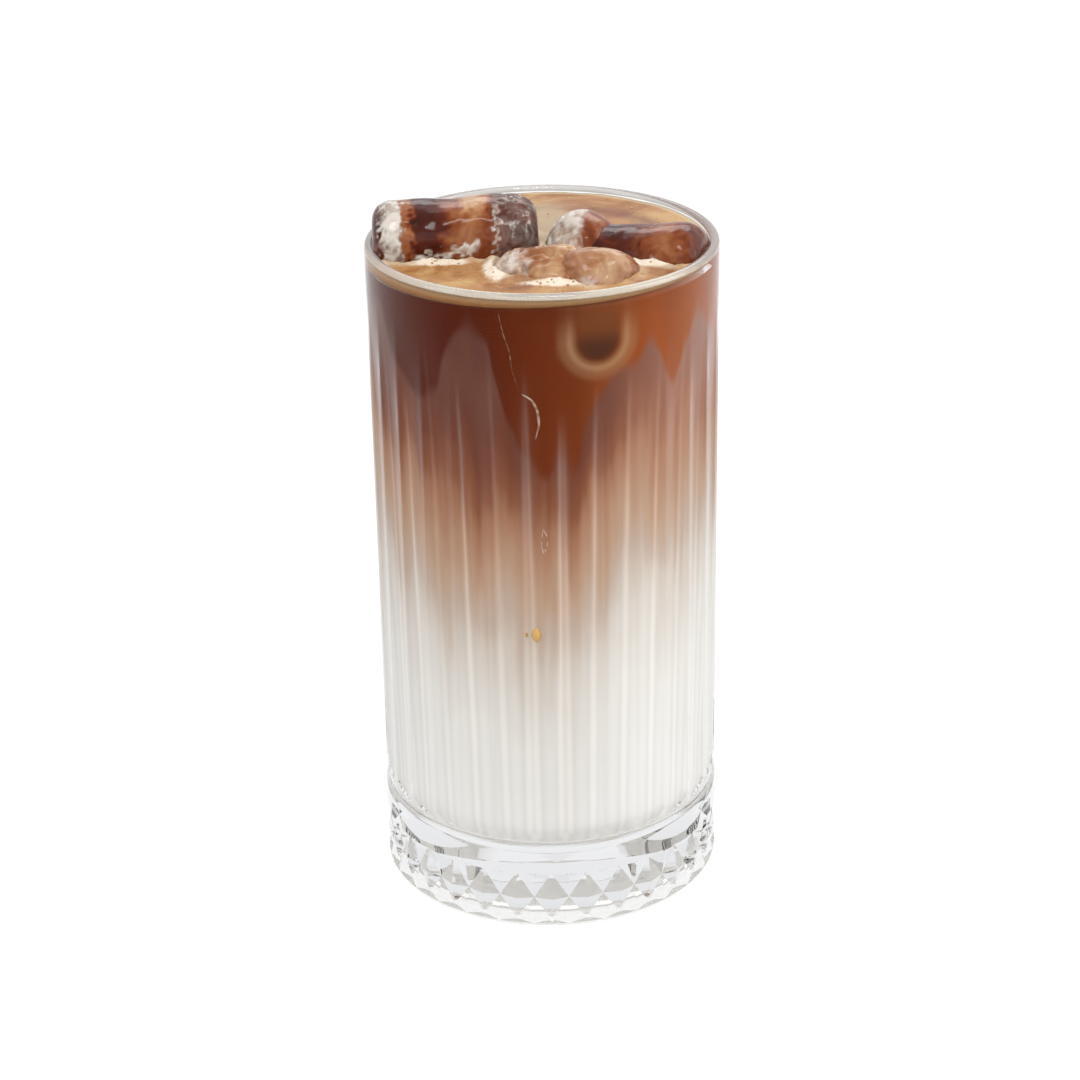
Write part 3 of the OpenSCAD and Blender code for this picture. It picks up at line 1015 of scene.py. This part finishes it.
patchy = ramp(noise_value(tree, 90.0, 3.0, 0.6, distortion=0.8), [(0.4, 0.1), (0.6, 1.0)])
pale = ramp(mask(tree, "ice_gap", -0.5, 3.5), [(0.0, 0.85), (0.35, 0.75), (1.0, 0.0)])
base = blend_colours(times(pale, patchy), base, colour("bba88c"))
airy = ramp(cloudy, [(0.3, 0.4), (0.6, 1.3)])
whipped = times(mask(tree, "froth", 0.1, 0.8), airy)
whipped = ramp(whipped, [(0.1, 0.0), (0.6, 0.95)])
base = blend_colours(whipped, base, colour("d4c6b3"))

SIDE_STOPS = [(0.0, "8c5629"), (0.4, "b07a46"), (0.75, "c0986a"), (1.0, "c2b296")]
side = ramp(mask(tree, "wall_gap", -0.2, 1.6), [(0.0, 1.0), (0.25, 0.8), (1.0, 0.0)])
edge_height = between(along_axes[2], 0.1464, 0.1497)
base = blend_colours(side, base, ramp(edge_height, SIDE_STOPS))
fill(shader, {"Base Color": base})
cells = add_node(tree, "ShaderNodeTexVoronoi", {"Vector": spot, "Scale": 1400.0}, feature="F1")
bumped(shader, plus(cells.outputs["Distance"], times(cloudy, 3.0)), 0.35, 0.0003)
foam.data.materials.append(foam_finish)
foam.data.shade_smooth()
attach(foam, "root")
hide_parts("crema")
print("foam finish ready")

# %% [markdown]
# ## Melting ice
#
# A bar of melting ice is round but never even: water has licked shallow dimples into
# it, its ends are rough and cloudy, and one end may carry a swollen collar. Each mesh
# is a tube of rings along the bar, with its ends rounded and its points pushed in and
# out by smooth noise at two scales, broad dimples and sharp folds. Each bar has its own
# short recipe of where it is frosted, where a highlight is painted on it, and where it is
# pale or rough, told by the place along the bar and round it. The frost with the painted
# highlights, and the tone, are stored on the mesh for the finish to read.

# %% Ice meshes
RAGGED, BROAD, FOLDED = 0.9, 0.13, 0.38
OVER_RIM = 38.4


def tube_faces(rows, columns):
    """Quads between rings of points, and a flat cap on each end."""
    faces = []
    for low in range(0, (rows - 1) * columns, columns):
        for j in range(columns):
            k = (j + 1) % columns
            faces.append((low + j, low + k, low + columns + k, low + columns + j))
    last = (rows - 1) * columns
    return faces + [tuple(range(columns))[::-1], tuple(range(last, last + columns))]


def ice_mesh(bullet, dents, crumple, seed, paint, rings=120, columns=128):
    """A bar of ice. dents is the depth in mm of broad dimples, crumple that of sharp folds.
    paint tells frost and painted highlights, tone and roughness of shape from the place along and round
    the bar."""
    turn = even_turn(columns)
    bend = np.linspace(0, 1, rings)
    along = -np.cos(bend * math.pi)
    along = np.sign(along) * np.abs(along) ** 0.75
    reach = along * bullet.length / 2
    short = np.clip((np.abs(reach) - (bullet.length / 2 - bullet.end)) / bullet.end, 0, 1)
    radius = bullet.radius - bullet.end + bullet.end * np.sqrt(np.maximum(1 - short ** 2, 0))
    side = np.cross(bullet.axis, (0.0, 0.0, 1.0) if abs(bullet.axis[2]) < 0.7 else (1.0, 0.0, 0.0))
    side /= np.linalg.norm(side)
    lift = np.cross(side, bullet.axis)
    radial = np.cos(turn)[:, None] * side + np.sin(turn)[:, None] * lift
    spots = bullet.middle + reach[:, None, None] * bullet.axis + radius[:, None, None] * radial
    outwards = np.broadcast_to(radial, spots.shape).reshape(-1, 3)
    flat = spots.reshape(-1, 3)
    rows_along = np.repeat(along, columns)
    degrees = (np.tile(np.degrees(turn), rings) + 90) % 360 - 90
    ragged = noise_at(flat * RAGGED + seed)
    frost_and_glint, tone, rough = paint(rows_along + 0.1 * ragged, degrees + 14 * ragged)
    broad = noise_at(flat * BROAD + seed)
    folded = 1 - np.abs(noise_at(flat * FOLDED + seed * 2)) * 3
    push = dents * (broad - 0.05) + crumple * (1 + 4 * rough) * np.minimum(folded, 0.4)
    flat = flat + outwards * push[:, None]
    outer = np.hypot(flat[:, 0], flat[:, 1])
    limit = np.where(flat[:, 2] < GLASS_HEIGHT, bore(np.minimum(flat[:, 2], lip_z)) - 0.02, OVER_RIM)
    flat[:, :2] *= np.minimum(1, limit / np.maximum(outer, 1e-6))[:, None]
    thing = mesh_object(bullet.name, flat, tube_faces(rings, columns))
    store(thing, "frost_and_glint", np.clip(frost_and_glint, 0, 1))
    store(thing, "tone", np.clip(tone, 0, 1))
    thing.data.shade_smooth()
    return thing


def span(value, low, high, soft):
    """1 between low and high, falling to 0 over the width soft on both sides."""
    rise = smooth_step(low - soft, low + soft, value)
    return rise * (1 - smooth_step(high - soft, high + soft, value))


def left_paint(along, around):
    """A frosty collar and a dark tip at one end, a broken end at the other, and a painted highlight low
    on the near side.
    """
    collar = span(along, -0.9, -0.64, 0.03)
    broken = span(along, 0.5, 0.95, 0.08)
    # painted highlight: a pale glint along the near side, just above the coffee
    glint = span(around - 16 * along, 0, 9, 2) * span(along, -0.5, 0.24, 0.05)
    crack = span(along, 0.47, 0.52, 0.015) * span(around, 0, 70, 10)
    for place, low, high in ((0.62, 60, 100), (0.7, 20, 50), (0.79, 70, 115), (0.86, 25, 60)):
        crack = np.maximum(crack, span(along, place, place + 0.03, 0.012) * span(around, low, high, 6))
    frost_and_glint = np.maximum.reduce([0.85 * collar, 0.12 * broken, 0.95 * glint, 0.55 * crack])
    tone = (0.16 + 0.42 * span(along, -0.1, 0.45, 0.2) + 0.45 * span(along, 0.1, 0.4, 0.1)
            * span(around, 55, 140, 15) + 0.5 * span(along, -0.66, -0.52, 0.06))
    return frost_and_glint, tone, 0.55 * broken + 0.2 * collar


def right_paint(along, around):
    """Dark and smooth, with painted highlights (glints) where it meets the wall."""
    # painted highlight: glints towards the end at the wall
    glint = span(along, 0.35, 0.95, 0.05) * span(around + 60 * along, 30, 52, 6)
    speck = span(along, -0.3, 0.2, 0.1) * span(around, -4, 8, 3)
    return 0.9 * glint + 0.5 * speck, 0.2 + 0.35 * span(along, 0.2, 0.8, 0.3), 0.6 * glint


def head_paint(along, around):
    """A swollen end, white with frost on its near side."""
    frost_and_glint = span(along, -1.1, 0.35, 0.12)
    return 0.8 * frost_and_glint, 0.55 + 0 * along, 0.5 * frost_and_glint


def lump_paint(along, around):
    """A half melted lump, mauve brown and creased, with a painted highlight towards one end."""
    # painted highlight: a pale glint towards one end
    glint = span(along, -0.95, -0.35, 0.15) * span(around, 10, 95, 15)
    vein = span(along, -0.3, -0.16, 0.05) * span(around, -10, 70, 15)
    return np.maximum(0.75 * glint, 0.7 * vein), 0.8 + 0.15 * np.sin(along * 5), 0.3 + 0 * along


def dome_paint(along, around):
    """A smooth dome with a few bright creases low on its near side."""
    crease = span(along, 0.1, 0.3, 0.1) * span(around, 175, 215, 12)
    bands = np.sin(np.radians(around) * 3)
    return 0.08 + 0.45 * crease, 0.82 + 0.15 * bands, 0.1 + 0 * along


left_ice = ice_mesh(LEFT, 0.5, 0.12, 4.0, left_paint, rings=150, columns=160)
right_ice = ice_mesh(RIGHT, 0.5, 0.12, 11.0, right_paint, rings=150, columns=144)
head_ice = ice_mesh(HEAD, 0.7, 0.2, 17.0, head_paint)
middle_ice = ice_mesh(MIDDLE, 2.2, 0.5, 23.0, lump_paint)
front_ice = ice_mesh(FRONT, 2.2, 0.3, 31.0, dome_paint)
all_ice = (left_ice, right_ice, head_ice, middle_ice, front_ice)
print("ice pieces:", [len(o.data.polygons) for o in all_ice])

# %% [markdown]
# Ice that lies in coffee is soaked with it, and takes its colour: dark brown where it
# is clear, tan where it is full of fine cracks. Most of the body is a wet brown shader
# whose colour follows the stored tone and slow noise. A small share of clear ice is
# mixed in, which bends light less than glass. Where the stored mask marks frost or a
# painted highlight, a third, cloudy shader shows, broken up by noise so that the frost
# looks cracked and not painted on. The glints on the ice are painted highlights drawn
# by this same pale shader.

# %% Ice finish
STAINED_SHARE = 0.96
ice_finish, tree, clear, out = new_material("wet_ice", {
    "Base Color": (0.80, 0.62, 0.48, 1.0), "Roughness": 0.02, "IOR": 1.31,
    "Specular Tint": (0.4, 0.4, 0.4, 1.0), "Transmission Weight": 1.0})
rippled(clear, 170.0, 0.25, 0.0004)
# the frost mask also carries the painted highlights (glints) of the ice
frost_and_glint = stored(tree, "frost_and_glint")
tone = stored(tree, "tone")
cracked = noise_value(tree, 300.0, 5.0, 0.65, distortion=0.5)
soaked = noise_value(tree, 170.0, 3.0, 0.55, distortion=0.8)
frost_and_glint_surface = add_node(tree, "ShaderNodeBsdfPrincipled", {
    "Roughness": 0.22,
    "Base Color": ramp(cracked, [(0.3, "948674"), (0.45, "b2a799"), (0.62, "cac3b9")])})
bumped(frost_and_glint_surface, cracked, 0.35, 0.0005)
amount = ramp(cracked, [(0.34, 0.35), (0.52, 1.0)])
amount = step("MULTIPLY", frost_and_glint, amount, clamp=True)
STAIN_STOPS = [
    (0.0, "2c0902"), (0.25, "4c1805"), (0.5, "74391a"), (0.75, "92603c"), (1.0, "b08c68")]
stain = ramp(plus(tone, swing(soaked, 0.9)), STAIN_STOPS, "LINEAR")
stained = add_node(tree, "ShaderNodeBsdfPrincipled", {
    "Roughness": 0.12, "Specular IOR Level": 0.14, "Base Color": stain})
rippled(stained, 150.0, 0.4, 0.0008)
inner = add_node(tree, "ShaderNodeMixShader", {
    0: STAINED_SHARE, 1: clear.outputs[0], 2: stained.outputs[0]})
body = add_node(tree, "ShaderNodeMixShader", {
    0: amount, 1: inner.outputs[0], 2: frost_and_glint_surface.outputs[0]})
lamps_pass(body.outputs[0], out, (0.8, 0.76, 0.72, 1.0))
for piece in all_ice:
    piece.data.materials.append(ice_finish)
    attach(piece, "root")
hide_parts("ice_left")
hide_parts("ice_right")
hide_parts("ice_middle")
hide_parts("ice_front")
print("ice finish ready")

# %% [markdown]
# ## Bubbles in the foam
#
# Poured coffee always carries bubbles. They gather where the foam is whipped up and
# along the glass. Placing them one by one would be dull work, so a Geometry Nodes tree
# scatters points on the foam where a mask allows it, sets a small ball on each, and
# realises the lot into one mesh. The seed is fixed, so they never move.

# %% Bubble tree
scatter = bpy.data.node_groups.new("bubble_scatter", "GeometryNodeTree")
for label, kind in (("Geometry", "NodeSocketGeometry"), ("Finish", "NodeSocketMaterial"),
                    ("Density", "NodeSocketFloat"), ("Smallest", "NodeSocketFloat"),
                    ("Largest", "NodeSocketFloat"), ("Seed", "NodeSocketInt")):
    scatter.interface.new_socket(label, in_out="INPUT", socket_type=kind)
scatter.interface.new_socket("Geometry", in_out="OUTPUT", socket_type="NodeSocketGeometry")
given = scatter.nodes.new("NodeGroupInput").outputs
allowed = add_node(scatter, "GeometryNodeInputNamedAttribute", {"Name": "bubbly"}, data_type="FLOAT")
density = step("MULTIPLY", allowed.outputs[0], given["Density"])
dots = add_node(scatter, "GeometryNodeDistributePointsOnFaces", {
    "Mesh": given["Geometry"], "Density": density, "Seed": given["Seed"]})
ball = add_node(scatter, "GeometryNodeMeshIcoSphere", {"Radius": 1.0, "Subdivisions": 2}).outputs[0]
width = add_node(scatter, "FunctionNodeRandomValue", {"Seed": given["Seed"]}, data_type="FLOAT")
for name, key in (("Min", "Smallest"), ("Max", "Largest")):
    live = [i for i in width.inputs if i.name == name and i.enabled][0]
    scatter.links.new(given[key], live)
sizes_out = [o for o in width.outputs if o.enabled][0]
balls = add_node(scatter, "GeometryNodeInstanceOnPoints", {
    "Points": dots.outputs[0], "Instance": ball, "Scale": sizes_out}).outputs[0]
real = add_node(scatter, "GeometryNodeRealizeInstances", {0: balls}).outputs[0]
done = add_node(scatter, "GeometryNodeSetMaterial", {0: real, "Material": given["Finish"]}).outputs[0]
add_node(scatter, "NodeGroupOutput", {0: done})
print("bubble tree:", len(scatter.nodes), "nodes")

# %% [markdown]
# Where bubbles may sit is a mask once more: most on the heaps of froth, some in patches
# of open foam, and none against the ice or the wall. The tree runs on a copy of the
# foam, and only the balls are kept.

# %% Scatter the bubbles
bubble_finish, tree, shader, out = new_material("bubble_skin", {
    "Base Color": colour("a5835a"), "Roughness": 0.12})
open_foam = (gap > 0.3) & (wall_gap > 1.2)
patches = smooth_step(0.1, 0.5, noise_field(fx, fy, 0.22, 14.0))
rings_of_froth = 0.6 * froth + 0.25 * patches
where = np.concatenate([0 * gap[::-1], np.clip(rings_of_froth, 0, 1) * open_foam])
bubbles = show("foam_bubbles", foam.data.copy())
store(bubbles, "bubbly", np.concatenate([where.reshape(-1), [0.0, 0.0]]))
run_tree(bubbles, scatter, {"Finish": bubble_finish, "Density": 0.7e6, "Smallest": 0.08 * MM,
                            "Largest": 0.34 * MM, "Seed": 7}, "foam_bubbles")
bubbles.data.shade_smooth()
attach(bubbles, "root")
FACES_EACH = 80
print("bubbles:", len(bubbles.data.polygons) // FACES_EACH)

# %% [markdown]
# ## Curls and a drop on the wall
#
# A thread of milk curls down inside the glass, a trail of tiny bubbles runs above it, a
# small pale loop hangs below, and a yellow drop of fat rests lower down. All are thin
# shapes that lie against the inner wall. Each is swept along a path given by its place
# round the glass and its height.

# %% Threads on the wall
def wall_thread(name, path, wide, blunt, finish):
    """A flat thread on the inner wall, through places given in degrees from the front and
    mm of height. blunt shapes its ends: 0 is square, 1 is pointed."""
    path = np.array(path, dtype=float)
    t = np.linspace(0, len(path) - 1, 12 * (len(path) - 1) + 1)
    low = np.clip(t.astype(int), 0, len(path) - 2)
    part = t - low
    part = part * part * (3 - 2 * part)
    line = path[low] + (path[low + 1] - path[low]) * part[:, None]
    for side in (0, 1):
        wider = np.pad(line[:, side], 4, "reflect", reflect_type="odd")
        line[:, side] = np.convolve(wider, np.ones(9) / 9, "valid")
    a = np.radians(line[:, 0])
    r = bore(line[:, 1]) + 0.2
    spots = np.stack([r * np.sin(a), -r * np.cos(a), line[:, 1]], -1)
    ahead = np.gradient(spots, axis=0)
    ahead /= np.linalg.norm(ahead, axis=1)[:, None]
    outward = np.stack([np.sin(a), -np.cos(a), 0 * a], -1)
    across = np.cross(ahead, outward)
    taper = np.sin(np.linspace(0.04, math.pi - 0.04, len(line))) ** blunt
    sides = np.radians(np.arange(0, 360, 45))
    rim = (spots[:, None] + taper[:, None, None] * wide / 2 * (
        np.cos(sides)[:, None] * across[:, None] + 0.45 * np.sin(sides)[:, None] * outward[:, None]))
    thing = mesh_object(name, rim.reshape(-1, 3), tube_faces(len(line), len(sides)))
    thing.data.materials.append(finish)
    thing.data.shade_smooth()
    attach(thing, "root")
    return thing


def thread_finish(name, scale, low, high):
    """A matt finish that wavers between two colours along a thread. Stops are (noise, colour)."""
    made, tree, shader, out = new_material(name, {"Roughness": 0.5})
    fill(shader, {"Base Color": ramp(noise_value(tree, scale), [low, high])})
    return made


curl_finish = thread_finish("milk_thread", 700.0, (0.4, "9a6a4c"), (0.62, "d6c0ae"))
trail_finish = thread_finish("trail_of_bubbles", 900.0, (0.42, "5a2208"), (0.58, "a87a58"))
drop_finish = new_material("yellow_drop", {"Base Color": colour("dcae62"), "Roughness": 0.35})[0]
CURL = [(-7.4, 128.6), (-4.4, 127.2), (-2.6, 124.8), (-2.2, 121.5), (-3.6, 118.4)]
TRAIL = [(-14.5, 146.5), (-13.2, 142), (-11.2, 138), (-10.6, 134), (-8.4, 129.5)]
LOOP = [(-1.6, 97.4), (0.0, 95.9), (0.1, 93.4), (-1.4, 91.4), (-2.4, 93.8), (-1.6, 97.0)]
DROP = [(-5.4, 73.6), (-5.2, 72.0), (-5.0, 70.2)]
wall_thread("milk_curl", CURL, 0.6, 0.7, curl_finish)
wall_thread("bubble_trail", TRAIL, 0.28, 0.5, trail_finish)
wall_thread("milk_loop", LOOP, 0.3, 0.4, curl_finish)
wall_thread("fat_drop", DROP, 2.4, 0.7, drop_finish)
print("threads and drop placed")
